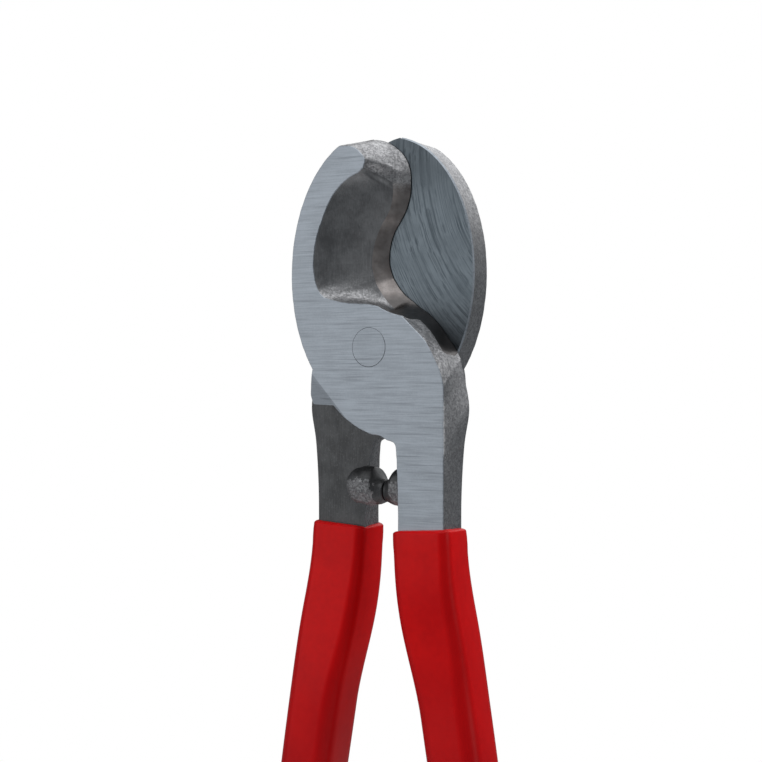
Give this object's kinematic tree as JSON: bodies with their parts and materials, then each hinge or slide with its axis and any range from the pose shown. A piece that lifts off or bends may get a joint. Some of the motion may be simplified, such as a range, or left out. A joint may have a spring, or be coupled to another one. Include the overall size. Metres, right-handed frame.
{
  "type": "cable cutter",
  "caption": "Hand cable cutter: crossed forged steel levers with hooked shearing jaws on a flush rivet, forged closing stops and dipped red grips.",
  "frame": {"origin": "centre of the bounding box's footprint, on the surface under the two grip ends; the pivot is 186 mm above it", "axes": "+Z along the tool's length, jaws up; +X to the right seen from the front; +Y from the front face to the back, along the rivet"},
  "size_m": [0.0798, 0.0214, 0.2397],
  "materials": {
    "forged_steel": "forged, with ground outer faces and edges",
    "rivet_steel": "ground flush with the faces",
    "red_vinyl": "glossy dipped vinyl"
  },
  "bodies": {
    "front_half": {"front_lever": "forged_steel", "right_grip": "red_vinyl", "pivot_rivet": "rivet_steel"},
    "back_half": {"back_lever": "forged_steel", "left_grip": "red_vinyl"}
  },
  "joints": [
    {"name": "jaw_pivot", "type": "hinge", "parent": "front_half", "child": "back_half", "pos_m": [0, 0, 0.186], "axis": [0, 1, 0], "range_deg": [0, 60]}
  ]
}
